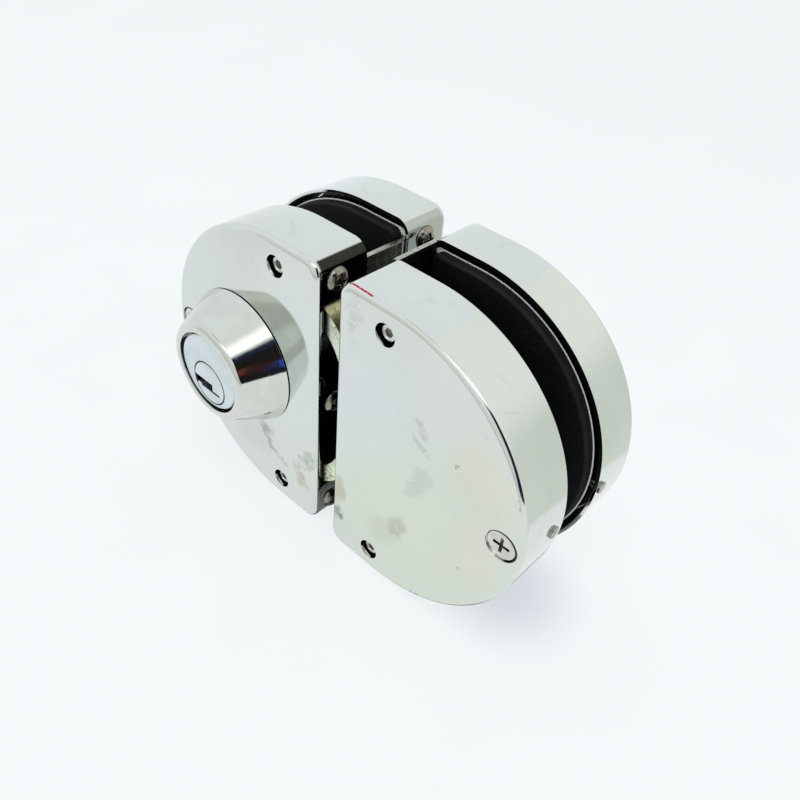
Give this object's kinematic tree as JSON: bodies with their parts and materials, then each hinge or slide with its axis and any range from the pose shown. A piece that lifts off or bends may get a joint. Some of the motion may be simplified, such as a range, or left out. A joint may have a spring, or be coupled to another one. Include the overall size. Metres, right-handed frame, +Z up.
{
  "type": "glass door lock",
  "caption": "Clamp-on lock for glass doors: half-moon lock with key cylinder in a conical guard throws two geared claws behind the keeper of a half-moon strike.",
  "frame": {"origin": "under the middle of the whole lock, on the lowest plane of both units", "axes": "+X along the doors from the lock to the strike, +Y from the key side to the back, +Z up"},
  "size_m": [0.1454, 0.066, 0.1],
  "materials": {
    "polished_cover": "mirror polished stainless steel with faint smudges",
    "polished_guard": "mirror polished",
    "bright_chassis": "bright zinc plated steel",
    "bright_plate": "bright zinc plated steel",
    "black_rubber": "matt black rubber",
    "bright_screw": "bright stainless steel",
    "dark_screw": "plain stainless steel",
    "plain_steel": "plain zinc plated steel",
    "spring_steel": "spring steel",
    "yellow_brass": "turned brass",
    "satin_nickel": "satin nickel plated brass",
    "passivated_steel": "yellow passivated zinc on steel"
  },
  "bodies": {
    "lock_and_strike": {"lock_front_cover": "polished_cover", "lock_rear_cover": "polished_cover", "lock_chassis": "bright_chassis", "lock_clamp_plate": "bright_plate", "lock_front_pad": "black_rubber", "lock_rear_pad": "black_rubber", "lock_set_screws": "dark_screw", "lock_cover_screws": "bright_screw", "lock_edge_screws": "bright_screw", "lock_rim_screws": "bright_screw", "mechanism_plate": "plain_steel", "mechanism_standoffs": "plain_steel", "claw_pivots": "plain_steel", "cylinder_body": "satin_nickel", "cylinder_screws": "bright_screw", "driver_pins": "yellow_brass", "pin_springs": "spring_steel", "chamber_caps": "yellow_brass", "guard_snap_ring": "plain_steel", "strike_front_cover": "polished_cover", "strike_rear_cover": "polished_cover", "strike_chassis": "bright_chassis", "strike_clamp_plate": "bright_plate", "strike_front_pad": "black_rubber", "strike_rear_pad": "black_rubber", "strike_set_screws": "dark_screw", "strike_cover_screws": "bright_screw", "strike_edge_screws": "bright_screw", "strike_rim_screws": "bright_screw"},
    "key_plug": {"cylinder_plug": "satin_nickel", "key_pins": "yellow_brass", "plug_clip": "plain_steel", "tailpiece": "plain_steel", "drive_sector": "plain_steel"},
    "upper_claw": {"upper_claw": "passivated_steel"},
    "lower_claw": {"lower_claw": "passivated_steel"},
    "cone_guard": {"cone_guard": "polished_guard"}
  },
  "joints": [
    {"name": "key_turn", "type": "hinge", "parent": "lock_and_strike", "child": "key_plug", "pos_m": [-0.0384, -0.025, 0.0469], "axis": [0, -1, 0], "range_deg": [0, 90]},
    {"name": "upper_claw_swing", "type": "hinge", "parent": "lock_and_strike", "child": "upper_claw", "pos_m": [-0.0195, -0.011, 0.0602], "axis": [0, -1, 0], "range_deg": [0, 72]},
    {"name": "lower_claw_swing", "type": "hinge", "parent": "lock_and_strike", "child": "lower_claw", "pos_m": [-0.0195, -0.011, 0.0422], "axis": [0, 1, 0], "range_deg": [0, 72]},
    {"name": "guard_spin", "type": "hinge", "parent": "lock_and_strike", "child": "cone_guard", "pos_m": [-0.0384, -0.026, 0.0512], "axis": [0, -1, 0], "continuous": true}
  ],
  "couplings": [
    {"joint": "upper_claw_swing", "follows": "key_turn", "ratio": 0.8},
    {"joint": "lower_claw_swing", "follows": "key_turn", "ratio": 0.8}
  ]
}
